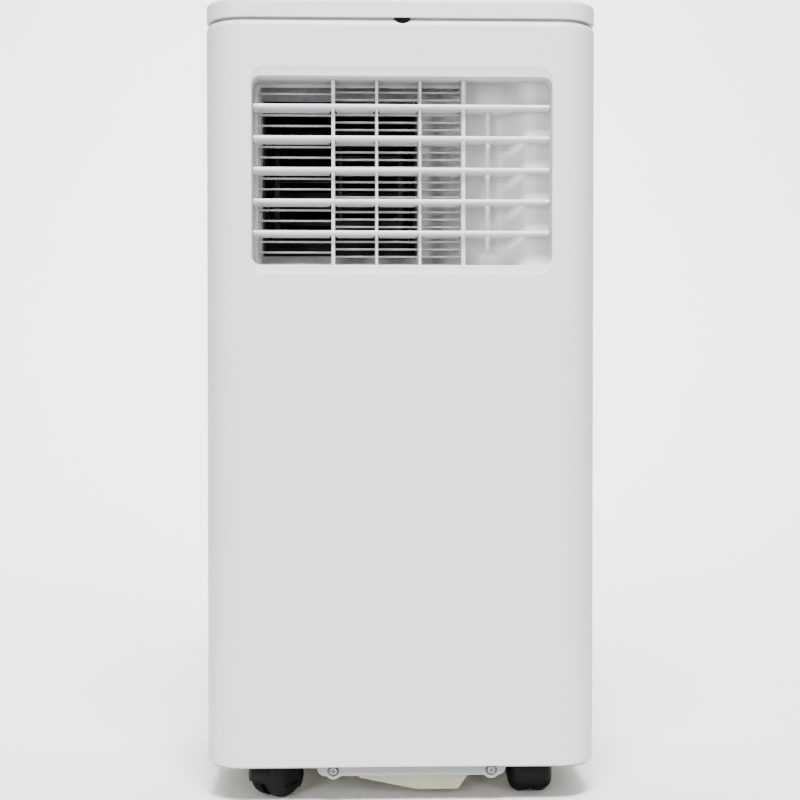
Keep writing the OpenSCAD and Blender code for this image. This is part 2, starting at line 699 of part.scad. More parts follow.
module evaporator_fan_motor() {
    color(steel) translate([20, fan_y, fan_z]) rotate([0, 90, 0]) can_motor(38, 56, 4.05);
    color(steel) difference() {
        block(82, 85, fan_y - 46, fan_y + 46, tray_z + 3, fan_z + 44);
        rod_x(20, 80, 88, fan_y, fan_z);
    }
    color(steel) block(85, 110, fan_y - 46, fan_y + 46, tray_z + 3, tray_z + 5);
    color(steel) for (s = [-1, 1]) rod_x(3, 76, 82, fan_y + 22 * s, fan_z + 22 * s);
}

// Finned coil: thin fins on tubes that run side to side, with end plates and return bends.
module coil(x0, x1, y0, depth, z0, z1, fins, tubes) {
    step = (x1 - x0) / (fins - 1);
    rise = (z1 - z0) / tubes;
    y = y0 + depth / 2;
    color(fin_silver) for (i = [0 : fins - 1])
        block(x0 + i * step - 0.3, x0 + i * step + 0.3, y0 + 1, y0 + depth - 1, z0 + 1, z1 - 1);
    color(copper) for (i = [0 : tubes - 1]) rod_x(3.5, x0 - 5, x1 + 5, y, z0 + rise * (i + 0.5));
    color(steel) for (x = [x0 - 5, x1 + 3]) block(x, x + 2, y0, y0 + depth, z0, z1);
    color(copper) for (i = [0 : 2 : tubes - 2]) translate([x1 + 5, y, z0 + rise * (i + 1)])
        rotate([90, 0, 0]) return_bend(rise / 2);
    color(copper) for (i = [1 : 2 : tubes - 2]) translate([x0 - 5, y, z0 + rise * (i + 1)])
        rotate([90, 180, 0]) return_bend(rise / 2);
}

module return_bend(r) rotate(-90) rotate_extrude(angle = 180, $fn = 32) translate([r, 0]) circle(3.5, $fn = 24);

module evaporator_coil() coil(-130, 130, coil_y, coil_d, tray_z + 6, 640, 34, 8);

// ---------- lower compartment ----------

module condenser_coil() coil(-128, 128, coil_y, coil_d, 60, 238, 34, 8);

function cond_scroll(grow) = concat(
    [for (turn = [0 : 12.5 : 250]) let (a = 20 - turn, r = cond_r + 6 + 12 * turn / 250 + grow)
        [r * cos(a), r * sin(a)]],
    [[-84, 108], [cond_r + 2, 108], [cond_r - 2, 60]]);

module condenser_fan_housing() color(black_plastic) translate([cond_x, 0, cond_z]) difference() {
    union() {
        along_y(24, 80) polygon(cond_scroll(2));
        for (x = [-60, 20], y = [24, 77]) block(x, x + 10, y, y + 3, 32.5 - cond_z, -60);
    }
    along_y(26, 78) polygon(cond_scroll(0));
    block(-82, cond_r, 26, 78, 90, 120);
    rod_y(60, 70, 90, 0, 0);
    rod_y(44, 20, 30, 0, 0);
}

module condenser_fan_wheel() {
    color(black_plastic) translate([cond_x, 74, cond_z]) rotate([90, 0, 0]) cage(cond_r - 4, 44, 32, 34, 4);
    color(steel) rod_y(4, 10, 52, cond_x, cond_z);
}

module condenser_fan_motor() {
    color(steel) translate([cond_x, 22, cond_z]) rotate([90, 0, 0]) can_motor(40, 58, 4.05);
    color(steel) for (s = [-1, 1]) block(cond_x + s * 34 - 6, cond_x + s * 34 + 6, -14, -11, 32.5, 140);
}

// Rotary compressor with its accumulator strapped to its side.
module compressor() {
    color(dark_grey) translate([comp_x, comp_y, 0]) rotate_extrude() polygon([
        [0, 57], [40, 57], [48, 61], [comp_r, 69], [comp_r, 240], [48, 250], [36, 257], [14, 262], [0, 262],
        [0, 256], [34, 251], [48, 237], [48, 74], [38, 65], [0, 65]]);
    color(dark_grey) translate([comp_x, comp_y, 0]) for (a = [90, 210, 330]) rotate(a) difference() {
        upright(53, 56) {
            translate([30, -10]) square([32, 20]);
            translate([62, 0]) circle(10);
        }
        translate([62, 0, 40]) cylinder(r = 6, h = 20);
    }
    color(dark_grey) translate([comp_x, comp_y, 55.9]) cylinder(r = 34, h = 3);
    color(dark_grey) translate([comp_x + 66, comp_y - 42, 0]) rotate_extrude() polygon([
        [0, 96], [12, 100], [22, 110], [22, 222], [12, 232], [0, 236]]);
    color(steel) block(comp_x + 33, comp_x + 53, comp_y - 34, comp_y - 30, 160, 172);
    color(black_plastic) translate([comp_x, comp_y, 258]) cylinder(r = 20, h = 14);
}

// Rubber grommets on studs, which the compressor's feet sit in.
module compressor_mounts() color(black_plastic) translate([comp_x, comp_y, 0]) for (a = [90, 210, 330]) rotate(a)
    translate([62, 0, 0]) rotate_extrude() polygon([
        [0, 50], [8.5, 50], [8.5, 53], [6, 53], [6, 56], [8.5, 56], [8.5, 60], [3, 60], [3, 64], [0, 64]]);

module refrigerant_pipes() color(copper) {
    tube_y = coil_y + coil_d / 2;
    high = 226.87;
    low = 71.12;
    // Discharge: compressor to the top of the condenser.
    pipe(3.2, 8, [[comp_x - 26, comp_y + 20, 258.5], [comp_x - 26, comp_y + 20, 272], [-150, comp_y + 20, 272],
                  [-150, tube_y, 272], [-150, tube_y, high], [-133.1, tube_y, high]]);
    // Suction: evaporator down through the tray to the accumulator.
    pipe(4.5, 10, [[-135.1, tube_y, 420.62], [-147, tube_y, 420.62], [-147, 60, 420.62], [-147, 60, 292],
                   [-147, comp_y - 42, 292], [comp_x + 66, comp_y - 42, 292],
                   [comp_x + 66, comp_y - 42, 236.1]]);
    // Accumulator to the compressor's inlet.
    pipe(4.5, 9, [[comp_x + 66, comp_y - 42, 95.9], [comp_x + 66, comp_y - 42, 82], [comp_x + 66, comp_y, 82],
                  [comp_x + comp_r + 0.1, comp_y, 82]]);
    // Capillary from the bottom of the condenser up to the top of the evaporator.
    pipe(1.6, 6, [[-133.1, tube_y, low], [-157, tube_y, low], [-157, 78, low], [-157, 78, 440],
                  [-157, tube_y, 440], [-157, tube_y, 625.38], [-135.1, tube_y, 625.38]]);
}

module electrical_box() {
    color(dark_grey) difference() {
        block(98, 156, -112, -40, 66, 236);
        block(100, 154, -110, -42, 68, 234);
    }
    color(board_green) block(104, 105.6, -106, -46, 68, 226);
    color(fin_silver) translate([130, -92, 68]) cylinder(r = 15, h = 60);
    color(black_plastic) block(105.6, 126, -70, -50, 150, 176);
    color(steel) for (z = [66, 232]) block(106, 148, -113, -111, z, z + 4);
}

// Upright stem with a stop at each end for the float that shuts the unit off when the pan is full.
module float_stem() color(trim_white) translate([-20, 62, 0]) {
    upright(32.5, 34.5) circle(12);
    upright(34.5, 60) circle(2.5);
    upright(60, 63) circle(6);
}

module float_ring() color(dark_grey) translate([-20, 62, 34.6]) difference() {
    cylinder(r = 9, h = 12);
    translate([0, 0, -1]) cylinder(r = 2.7, h = 14);
}

module splash_motor() {
    color(dark_grey) rod_x(16, -132, -104, 52, 70);
    color(steel) block(-130, -106, 34, 38, 32.5, 66);
    color(steel) block(-130, -106, 38, 52, 32.5, 34.5);
}

module splash_wheel() color(trim_white) {
    difference() {
        rod_x(32, -94, -91, 52, 70);
        for (i = [0 : 7]) translate([-92.5, 52, 70]) rotate([45 * i, 0, 0]) translate([0, 25, 0])
            cube([6, 9, 5], center = true);
    }
    rod_x(5, -103, -89, 52, 70);
}

// ---------- castors ----------

module at_castor(i) translate([castor_at(castor_side[i])[0], castor_at(castor_side[i])[1], 0])
    rotate(castor_yaw[i]) children();

module castor_sockets() color(dark_grey) for (i = [0 : 3]) at_castor(i) difference() {
    union() {
        upright(43, 46.5) circle(15);
        upright(46.5, 56) circle(7);
    }
    upright(42, 58) circle(4.06);
}

// Hood over the twin wheels, with a central web that holds the axle, and a swivel stem.
// A drum about the axle with rounded shoulders.
module hood_drum(r, half, shoulder) translate([0, trail, wheel_r]) rotate([0, 90, 0]) rotate_extrude()
    intersection() {
        rounded(2 * r, 2 * half, shoulder);
        translate([0, -half - 1]) square([r + 1, 2 * half + 2]);
    }

module castor_fork(i) color(black_plastic) at_castor(i) {
    difference() {
        union() {
            intersection() {
                hood_drum(wheel_r + 2, 19.5, 11);
                along_y(trail - 30, trail + 30) rounded_between(-19.5, 5.5, 19.5, 70, 9);
            }
            upright(34, 42.9) circle(9);
        }
        difference() {
            hood_drum(wheel_r + 0.6, 18.3, 9.8);
            block(-2.2, 2.2, -40, 60, -10, 60);
        }
        block(-30, 30, trail - 6, 60, -10, 14);
        rod_x(2.56, -3, 3, trail, wheel_r);
    }
    upright(42, 55) circle(4);
}

// Two wheels pressed on one axle, which turns in the fork's web.
module castor_wheels(i) color(black_plastic) at_castor(i) translate([0, trail, wheel_r]) {
    rod_x(2.5, -17, 17, 0, 0);
    for (s = [-1, 1]) rotate([0, 90 * s, 0]) translate([0, 0, 2.8]) rotate_extrude() polygon([
        [0, 0], [wheel_r - 1, 0], [wheel_r, 1], [wheel_r, 7], [wheel_r - 0.5, 9], [wheel_r - 1.5, 10.8],
        [wheel_r - 3, 12.6], [wheel_r - 5, 14.1], [wheel_r - 8, 15.2], [8, 15.2], [8, 13.6], [0, 13.6]]);
}

// ---------- nodes ----------

base_pan();
front_panel();
rear_panel();
top_cover();
side_handles();
partition_tray();
case_screws();
outlet_grille();
outlet_duct();
control_fascia();
display_window();
control_board();
remote_receiver();
lower_intake_grille();
exhaust_collar();
exhaust_duct();
cord_gland();
evaporator_coil();
evaporator_fan_housing();
evaporator_fan_motor();
condenser_coil();
condenser_fan_housing();
condenser_fan_motor();
compressor();
compressor_mounts();
refrigerant_pipes();
electrical_box();
float_stem();
splash_motor();
castor_sockets();
louvre(1);  // louvre_1
louvre(2);  // louvre_2
louvre(3);  // louvre_3
louvre(4);  // louvre_4
louvre(5);  // louvre_5
louvre_link();
button(0);  // button_power
button(1);  // button_mode
button(2);  // button_fan
button(3);  // button_down
button(4);  // button_up
button(5);  // button_timer
button(6);  // button_sleep
upper_filter_frame();
upper_filter_mesh();
drain_cap();
drain_plug();
evaporator_fan_wheel();
condenser_fan_wheel();
splash_wheel();
float_ring();
castor_fork(0);  // castor_fork_front_left
castor_fork(1);  // castor_fork_front_right
castor_fork(2);  // castor_fork_rear_left
castor_fork(3);  // castor_fork_rear_right
castor_wheels(0);  // castor_wheels_front_left
castor_wheels(1);  // castor_wheels_front_right
castor_wheels(2);  // castor_wheels_rear_left
castor_wheels(3);  // castor_wheels_rear_right
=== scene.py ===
"""Looks of the portable air conditioner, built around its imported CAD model. Lengths in the code are in millimetres."""

import math

import bmesh
import bpy
from mathutils import Matrix, Vector


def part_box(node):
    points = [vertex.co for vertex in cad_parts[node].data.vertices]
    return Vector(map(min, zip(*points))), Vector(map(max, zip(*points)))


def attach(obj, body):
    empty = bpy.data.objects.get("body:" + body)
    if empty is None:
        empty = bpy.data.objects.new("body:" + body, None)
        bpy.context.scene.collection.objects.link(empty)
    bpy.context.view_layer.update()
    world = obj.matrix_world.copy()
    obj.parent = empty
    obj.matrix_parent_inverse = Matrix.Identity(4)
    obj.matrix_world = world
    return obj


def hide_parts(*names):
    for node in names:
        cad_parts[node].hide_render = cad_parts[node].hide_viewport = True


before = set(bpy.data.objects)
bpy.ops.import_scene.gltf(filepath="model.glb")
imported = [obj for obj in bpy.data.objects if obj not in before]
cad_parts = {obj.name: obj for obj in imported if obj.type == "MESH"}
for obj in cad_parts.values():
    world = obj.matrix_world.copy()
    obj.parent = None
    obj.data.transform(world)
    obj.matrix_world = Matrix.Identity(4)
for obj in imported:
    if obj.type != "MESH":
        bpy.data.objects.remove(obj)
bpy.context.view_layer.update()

MM = 0.001


# ---------------------------------------------------------------- sizes, some read from the CAD parts' boxes


def node_box(name):
    low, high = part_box(name)
    return low / MM, high / MM


front_low, front_high = node_box("front_panel")
rear_low, rear_high = node_box("rear_panel")

HALF_W = front_high.x
FRONT = front_low.y
BACK = rear_high.y
TOP = node_box("top_cover")[1].z
CORNER = 36.0
WALL = 2.4
SKIRT_Z = rear_low.z
COVER_Z = TOP - 16
SEAM = front_high.y
RECESS_X = 127.7
RECESS_Z0, RECESS_Z1 = 460.8, 620.5
RECESS_BACK = FRONT + 42
MOUTH = (-124.7, 463.5, 55.0, 618.5)
PIVOT_Y = FRONT + 20
LOUVRE_Z = [488.3 + 26.95 * (5 - k) for k in range(1, 6)]
RIBS = [(-58.8, 3.0), (-21.4, 2.2), (15.8, 2.2), (53.2, 3.4)]
LINK_X = 75.0
FASCIA_Y = -98.0
FASCIA = (216.6, 56.6, 12.3)
SKIRT_IN, SKIRT_WALL, SKIRT_DEEP = 6.0, 2.4, 20.0

# Openings of the rear panel, as corners and corner radius or as centre and radius.
FILTER = (-125, 420, 125, 636, 8)
INTAKE = (-122, 66, 122, 228, 8)
EXHAUST = (0, 320.0, 75.3)
GLAND = (116, 256, 7.2)
DRAIN = (-120, 408, 9.2)
PLUG = (-40, 44, 11)
SLOT_X, SLOT_Z, SLOT_W, SLOT_H, SLOT_R, SLOT_PITCH, SLOT_ROWS = 116, 280, 38, 5, 2.4, 11, 8
GRIP = (10.6, 570.6, 109.4, 613.4, 13.4)

# Receiver window, front tab and screws.
LENS_R = 8.0
LENS_Z = COVER_Z + 2.9
EARS = (-59.0, 76.5)
EAR_Z = 28.3
TAB_X0, TAB_X1, TAB_LOW, TAB_TOP, TAB_CORNER = -73.0, 89.0, 23.8, 46.0, 7.0
TAB_FACE, TAB_BACK, TAB_CUP = FRONT + 4.0, FRONT + 6.5, FRONT + 6.0
EAR_R, CUP_R = 7.4, 4.9
REAR_SCREWS = ((-75, 54), (75, 54), (-60, 409), (60, 409), (-95, 655.5), (95, 655.5))


# ---------------------------------------------------------------- materials


def node(tree, kind, **inputs):
    made = tree.nodes.new(kind)
    for name, value in inputs.items():
        made.inputs[name.replace("_", " ")].default_value = value
    return made


def rgba(colour):
    return (colour[0], colour[1], colour[2], 1.0)


def surface(name, colour, rough, vary=0.03, vary_scale=9.0, grain=2200.0, bump=0.12, bump_mm=0.05, second=0.0,
            stretch=(1, 1, 1), metallic=0.0, coat=0.0, specular=0.5, rough_vary=0.05):
    """A moulded or metal surface: slow colour and gloss changes, and a fine grain in the bump."""
    mat = bpy.data.materials.new(name)
    mat.use_nodes = True
    tree = mat.node_tree
    shader = tree.nodes["Principled BSDF"]
    shader.inputs["Metallic"].default_value = metallic
    shader.inputs["Coat Weight"].default_value = coat
    shader.inputs["Specular IOR Level"].default_value = specular
    coords = node(tree, "ShaderNodeTexCoord")
    mapping = node(tree, "ShaderNodeMapping", Scale=stretch)
    tree.links.new(coords.outputs["Object"], mapping.inputs["Vector"])

    slow = node(tree, "ShaderNodeTexNoise", Scale=vary_scale, Detail=3.0, Roughness=0.55)
    tree.links.new(mapping.outputs["Vector"], slow.inputs["Vector"])
    ramp = node(tree, "ShaderNodeValToRGB")
    ramp.color_ramp.elements[0].position = 0.3
    ramp.color_ramp.elements[1].position = 0.7
    ramp.color_ramp.elements[0].color = rgba([c * (1 - vary) for c in colour])
    ramp.color_ramp.elements[1].color = rgba([min(1.0, c * (1 + vary)) for c in colour])
    tree.links.new(slow.outputs["Fac"], ramp.inputs["Fac"])
    tree.links.new(ramp.outputs["Color"], shader.inputs["Base Color"])

    gloss = node(tree, "ShaderNodeMapRange")
    gloss.inputs["To Min"].default_value = max(0.02, rough - rough_vary)
    gloss.inputs["To Max"].default_value = min(1.0, rough + rough_vary)
    tree.links.new(slow.outputs["Fac"], gloss.inputs["Value"])
    tree.links.new(gloss.outputs["Result"], shader.inputs["Roughness"])

    fine = node(tree, "ShaderNodeTexNoise", Scale=grain, Detail=2.0, Roughness=0.6)
    tree.links.new(mapping.outputs["Vector"], fine.inputs["Vector"])
    height = fine.outputs["Fac"]
    if second:
        wide = node(tree, "ShaderNodeTexNoise", Scale=second, Detail=1.0)
        tree.links.new(mapping.outputs["Vector"], wide.inputs["Vector"])
        both = node(tree, "ShaderNodeMath")
        both.operation = "ADD"
        tree.links.new(fine.outputs["Fac"], both.inputs[0])
        tree.links.new(wide.outputs["Fac"], both.inputs[1])
        height = both.outputs["Value"]
    relief = node(tree, "ShaderNodeBump", Strength=bump, Distance=bump_mm * MM)
    tree.links.new(height, relief.inputs["Height"])
    tree.links.new(relief.outputs["Normal"], shader.inputs["Normal"])
    return mat


def woven_mesh(name, colour):
    """Filter gauze: two crossed sets of threads with dark gaps."""
    mat = surface(name, colour, 0.7, vary=0.1)
    tree = mat.node_tree
    shader = tree.nodes["Principled BSDF"]
    coords = node(tree, "ShaderNodeTexCoord")
    height = None
    for axis in ("X", "Z"):
        wave = node(tree, "ShaderNodeTexWave", Scale=160.0, Distortion=0.2)
        wave.wave_type = "BANDS"
        wave.bands_direction = axis
        tree.links.new(coords.outputs["Object"], wave.inputs["Vector"])
        if height is None:
            height = wave.outputs["Fac"]
        else:
            both = node(tree, "ShaderNodeMath")
            both.operation = "MAXIMUM"
            tree.links.new(height, both.inputs[0])
            tree.links.new(wave.outputs["Fac"], both.inputs[1])
            height = both.outputs["Value"]
    ramp = node(tree, "ShaderNodeValToRGB")
    ramp.color_ramp.elements[0].position = 0.45
    ramp.color_ramp.elements[1].position = 0.75
    ramp.color_ramp.elements[0].color = rgba([c * 0.12 for c in colour])
    ramp.color_ramp.elements[1].color = rgba([c * 1.5 for c in colour])
    tree.links.new(height, ramp.inputs["Fac"])
    tree.links.new(ramp.outputs["Color"], shader.inputs["Base Color"])
    relief = node(tree, "ShaderNodeBump", Strength=0.6, Distance=0.3 * MM)
    tree.links.new(height, relief.inputs["Height"])
    tree.links.new(relief.outputs["Normal"], shader.inputs["Normal"])
    return mat


SHELL = surface("shell_white", (0.545, 0.555, 0.564), 0.44, vary=0.012, bump=0.10, second=700.0)
INNER = surface("inner_white", (0.500, 0.507, 0.515), 0.42, vary=0.015, bump=0.10)
# The tab is the same white plastic as the shell. Its colour is darkened to paint the shade it gets, recessed under
# the skirt.
TAB_PAINTED_SHADE = surface("tab_white_painted_shade", (0.200, 0.198, 0.201), 0.48, vary=0.02, bump=0.10)
CREAM = surface("natural_cream", (0.330, 0.308, 0.225), 0.55, vary=0.05, bump=0.15, second=500.0)
BLACK = surface("black_nylon", (0.0012, 0.0012, 0.0014), 0.5, vary=0.25, bump=0.2, grain=1500.0, specular=0.12)
DUCT_BLACK = surface("duct_black", (0.008, 0.008, 0.009), 0.65, vary=0.25, bump=0.25, grain=1200.0)
DARK = surface("dark_grey", (0.014, 0.0145, 0.016), 0.5, vary=0.10, bump=0.14, specular=0.25)
GLOSS = surface("smoked_window", (0.002, 0.002, 0.0025), 0.16, vary=0.1, bump=0.02, specular=0.2, rough_vary=0.03)
ZINC = surface("zinc_screw", (0.24, 0.24, 0.25), 0.38, vary=0.08, metallic=1.0, bump=0.15, grain=3000.0)
STEEL = surface("galvanised", (0.52, 0.53, 0.54), 0.38, vary=0.14, vary_scale=60.0, metallic=1.0, bump=0.08)
ENAMEL = surface("black_enamel", (0.014, 0.014, 0.016), 0.25, vary=0.15, bump=0.25, grain=500.0, coat=0.4)
FINS = surface("fin_stock", (0.44, 0.45, 0.46), 0.35, vary=0.06, vary_scale=50.0, metallic=1.0, bump=0.1)
COPPER = surface("copper", (0.76, 0.39, 0.24), 0.28, vary=0.14, vary_scale=70.0, metallic=1.0, bump=0.08)
RUBBER = surface("rubber", (0.018, 0.018, 0.018), 0.75, vary=0.12, bump=0.3, grain=900.0)
BOARD = surface("circuit_board", (0.03, 0.15, 0.07), 0.35, vary=0.2, vary_scale=220.0, bump=0.2, coat=0.3)
FOAM = surface("duct_foam", (0.55, 0.55, 0.56), 0.85, vary=0.12, vary_scale=160.0, bump=0.6, grain=420.0, bump_mm=0.6)
MESH = woven_mesh("filter_gauze", (0.05, 0.05, 0.055))
KEY = surface("key_grey", (0.50, 0.51, 0.52), 0.38, vary=0.02, bump=0.08)
PRINT = surface("print_grey", (0.045, 0.047, 0.052), 0.5, vary=0.06, bump=0.05)

LOOK = {
    "base_pan": CREAM, "side_handles": INNER, "partition_tray": INNER,
    "outlet_grille": INNER, "outlet_duct": FOAM, "control_fascia": DARK, "display_window": GLOSS,
    "control_board": BOARD, "lower_intake_grille": SHELL, "exhaust_collar": INNER,
    "exhaust_duct": INNER, "cord_gland": DARK, "evaporator_coil": FINS, "evaporator_fan_housing": DUCT_BLACK,
    "evaporator_fan_motor": STEEL, "condenser_coil": FINS, "condenser_fan_housing": DUCT_BLACK,
    "condenser_fan_motor": STEEL, "compressor": ENAMEL, "compressor_mounts": RUBBER, "refrigerant_pipes": COPPER,
    "electrical_box": DARK, "float_stem": INNER, "splash_motor": STEEL, "castor_sockets": DARK,
    "louvre_link": SHELL, "upper_filter_frame": SHELL, "upper_filter_mesh": MESH, "drain_cap": DARK,
    "drain_plug": RUBBER, "evaporator_fan_wheel": DUCT_BLACK, "condenser_fan_wheel": DUCT_BLACK,
    "splash_wheel": INNER, "float_ring": DARK, "front_panel": SHELL, "rear_panel": SHELL, "top_cover": SHELL,
}


def look_of(name):
    if name in LOOK:
        return LOOK[name]
    if name.startswith("castor"):
        return BLACK
    if name.startswith("button"):
        return KEY
    return SHELL


# ---------------------------------------------------------------- mesh tools


def rounded_ring(x0, z0, x1, z1, r, steps=10):
    """Points round a rounded rectangle, as (u, v) pairs, starting at the middle of the lower right corner's arc."""
    points = []
    for cx, cz, start in ((x1 - r, z0 + r, -90), (x1 - r, z1 - r, 0), (x0 + r, z1 - r, 90), (x0 + r, z0 + r, 180)):
        for i in range(steps + 1):
            a = math.radians(start + 90 * i / steps)
            points.append((cx + r * math.cos(a), cz + r * math.sin(a)))
    return points


def loft(bm, rings, close=True):
    """Quads between successive rings of points. Returns the rings' vertices."""
    made = [[bm.verts.new(p) for p in ring] for ring in rings]
    for low, high in zip(made, made[1:]):
        count = len(low)
        for i in range(count if close else count - 1):
            j = (i + 1) % count
            bm.faces.new((low[i], low[j], high[j], high[i]))
    return made


def ring_edges(bm, ring):
    edges = []
    for i in range(len(ring)):
        a, b = ring[i], ring[(i + 1) % len(ring)]
        edges.append(bm.edges.get((a, b)) or bm.edges.new((a, b)))
    return edges


def fill_between(bm, normal, *rings):
    """Faces over the area between closed rings of vertices."""
    edges = [e for ring in rings for e in ring_edges(bm, ring)]
    bmesh.ops.triangle_fill(bm, use_beauty=True, use_dissolve=False, normal=normal, edges=edges)


def add_object(bm, name):
    """Makes an object in metres from a mesh in millimetres."""
    bmesh.ops.remove_doubles(bm, verts=bm.verts[:], dist=0.0005)
    bmesh.ops.scale(bm, vec=(MM, MM, MM), verts=bm.verts[:])
    data = bpy.data.meshes.new(name)
    bm.to_mesh(data)
    bm.free()
    obj = bpy.data.objects.new(name, data)
    bpy.context.scene.collection.objects.link(obj)
    return obj


def dress(obj, body, replaced, mat, sharp=32.0, bevel=0.0):
    """Gives an object its material, rounded edges and normals and its body, and hides the CAD nodes it stands for."""
    obj.data.materials.clear()
    obj.data.materials.append(mat)
    obj.data.shade_smooth()
    if bevel:
        round_edges(obj, bevel)
    obj.data.set_sharp_from_angle(angle=math.radians(sharp))
    weigh = obj.modifiers.new("normals", "WEIGHTED_NORMAL")
    weigh.keep_sharp = True
    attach(obj, body)
    if replaced:
        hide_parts(*replaced)
    return obj


def finish_piece(bm, name, body, replaced, mat, sharp=32.0, bevel=0.0):
    return dress(add_object(bm, name), body, replaced, mat, sharp, bevel)


def round_edges(obj, width, segments=2, angle=40.0):
    mod = obj.modifiers.new("edges", "BEVEL")
    mod.width = width * MM
    mod.segments = segments
    mod.limit_method = "ANGLE"
    mod.angle_limit = math.radians(angle)
    mod.harden_normals = False
    mod.use_clamp_overlap = True
    return mod


def lathe(bm, profile, matrix, steps=40):
    """Solid of revolution about Z. The profile is (radius, height) pairs from end to end."""
    rings = []
    for r, h in profile:
        rings.append([matrix @ Vector((r * math.cos(2 * math.pi * i / steps),
                                       r * math.sin(2 * math.pi * i / steps), h)) for i in range(steps)])
    made = loft(bm, rings)
    for ring in (made[0], made[-1]):
        if (ring[0].co - ring[steps // 2].co).length > 1e-4:
            bm.faces.new(ring)


def arc(cx, cy, r, start, end, steps):
    return [(cx + r * math.cos(math.radians(start + (end - start) * i / steps)),
             cy + r * math.sin(math.radians(start + (end - start) * i / steps))) for i in range(steps + 1)]


# ---------------------------------------------------------------- case shells

ROLL_IN, ROLL_UP = 5.0, 6.5
RIM_TAPER = 0.72
ROLL_START = COVER_Z - 1.4 - ROLL_UP
ROLL_END = ROLL_START + ROLL_UP * math.sin(math.radians(82.5))
ARC_STEPS = 24
LENS_EDGE = math.sqrt(LENS_R ** 2 - (LENS_Z - ROLL_END) ** 2)


def roll_inset(z):
    """How far the shell's top edge has rolled inwards at a height."""
    t = max(0.0, (z - ROLL_START) / ROLL_UP)
    return ROLL_IN * (1 - math.sqrt(1 - t * t))


def shell_levels(extra):
    """(inset, height) pairs up the shell: a rounded lower edge, a straight side and a top edge that rolls inwards."""
    levels = [(1.5 * (1 - math.sin(a)), SKIRT_Z + 1.5 * (1 - math.cos(a)))
              for a in (math.radians(15 * i) for i in range(7))]
    levels += [(0.0, z) for z in extra]
    for i in range(12):
        z = ROLL_START + ROLL_UP * math.sin(math.radians(7.5 * i))
        levels.append((roll_inset(z), z))
    return levels


def shell_path(sign, seam, marks):
    """Plan of half the case from one seam to the other, as (point, outward normal). sign is -1 for the front."""
    cx, cy = HALF_W - CORNER, abs(FRONT) - CORNER
    path = [((-HALF_W, seam), (-1.0, 0.0))]
    for start, middle, points in ((180, -cx, marks), (90, cx, ())):
        for i in range(ARC_STEPS + 1):
            a = math.radians(start - 90 * i / ARC_STEPS)
            n = (math.cos(a), sign * math.sin(a))
            path.append(((middle + CORNER * n[0], sign * cy + CORNER * n[1]), n))
        path += [((x, sign * abs(FRONT)), (0.0, sign)) for x in points]
    path.append(((HALF_W, seam), (1.0, 0.0)))
    return path


def top_edge(x):
    """Height of the front shell's top edge, which dips round the lens."""
    return LENS_Z - math.sqrt(LENS_R ** 2 - x * x) if abs(x) < LENS_EDGE else ROLL_END


def shell_half(bm, sign, seam, extra, marks, windows):
    """Outer and inner skins of half the case, with the rims that join them. windows are (first column, last column,
    low, high), and are left open. Returns each window's outer and inner loops of vertices."""
    path = shell_path(sign, seam, marks)
    levels = shell_levels(extra)
    skins = []
    for inner in (False, True):
        grid = []
        for inset, z in levels:
            row = []
            for p, n in path:
                d, height = inset, z
                if z > ROLL_START and sign < 0:
                    height = ROLL_START + (z - ROLL_START) * (top_edge(p[0]) - ROLL_START) / (ROLL_END - ROLL_START)
                    d = roll_inset(height)
                if inner:
                    d = WALL + (RIM_TAPER * d if z > ROLL_START else 0.0)
                row.append(bm.verts.new((p[0] - n[0] * d, p[1] - n[1] * d, height)))
            grid.append(row)
        skins.append(grid)
    rows, columns = len(levels) - 1, len(path) - 1
    spans = []
    for first, last, low, high in windows:
        heights = [i for i, level in enumerate(levels) if low - 1e-6 <= level[1] <= high + 1e-6 and level[0] < 1e-9]
        spans.append((first % (columns + 1), last % (columns + 1), heights[0], heights[-1]))
    for grid in skins:
        for row in range(rows):
            for col in range(columns):
                if not any(c0 <= col < c1 and r0 <= row < r1 for c0, c1, r0, r1 in spans):
                    bm.faces.new((grid[row][col], grid[row][col + 1], grid[row + 1][col + 1], grid[row + 1][col]))
    outer, inner = skins
    for row in (0, rows):
        for col in range(columns):
            bm.faces.new((outer[row][col], outer[row][col + 1], inner[row][col + 1], inner[row][col]))
    for col in (0, columns):
        for row in range(rows):
            bm.faces.new((outer[row][col], outer[row + 1][col], inner[row + 1][col], inner[row][col]))
    return [[[g[r0][c] for c in range(c0, c1)] + [g[r][c1] for r in range(r0, r1)] +
             [g[r1][c] for c in range(c1, c0, -1)] + [g[r][c0] for r in range(r1, r0, -1)] for g in skins]
            for c0, c1, r0, r1 in spans]


def face_y(x, sign, depth):
    """Y of a point behind the front or back face, which curves away at the corners."""
    over = max(0.0, abs(x) - (HALF_W - CORNER))
    return sign * (abs(FRONT) - CORNER + math.sqrt((CORNER - depth) ** 2 - over * over))


